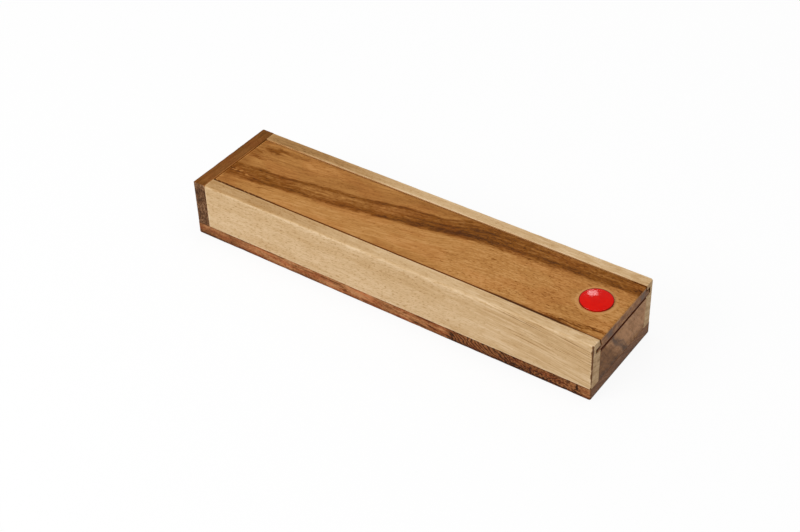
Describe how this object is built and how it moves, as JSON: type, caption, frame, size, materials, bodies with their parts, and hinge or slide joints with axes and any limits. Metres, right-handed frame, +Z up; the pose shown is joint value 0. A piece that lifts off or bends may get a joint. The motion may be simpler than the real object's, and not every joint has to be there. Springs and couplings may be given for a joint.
{
  "type": "sliding lid wooden box",
  "caption": "Long narrow wooden box on a flat base, with a grooved lid that slides out over the low end wall and a round domed badge on the lid.",
  "frame": {"origin": "centre of the box's underside", "axes": "+X along the box to its open end, +Y across to the far side wall, +Z up"},
  "size_m": [0.23, 0.056, 0.0333],
  "materials": {
    "base_wood": "reddish brown wood, satin",
    "near_wall_wood": "pale sapwood, satin",
    "far_wall_wood": "pale sapwood, satin",
    "fixed_end_wood": "dark brown wood, satin",
    "open_end_wood": "brown wood, satin",
    "lid_wood": "orange brown wood with a dark streak, satin",
    "badge_red": "plain red",
    "badge_resin": "clear glossy resin"
  },
  "bodies": {
    "box": {"base_board": "base_wood", "near_side_wall": "near_wall_wood", "far_side_wall": "far_wall_wood", "fixed_end_wall": "fixed_end_wood", "open_end_wall": "open_end_wood"},
    "lid": {"lid_panel": "lid_wood", "badge_disc": "badge_red", "badge_dome": "badge_resin"}
  },
  "joints": [
    {"name": "lid_slide", "type": "slide", "parent": "box", "child": "lid", "axis": [1, 0, 0], "range_m": [0, 0.23]}
  ]
}
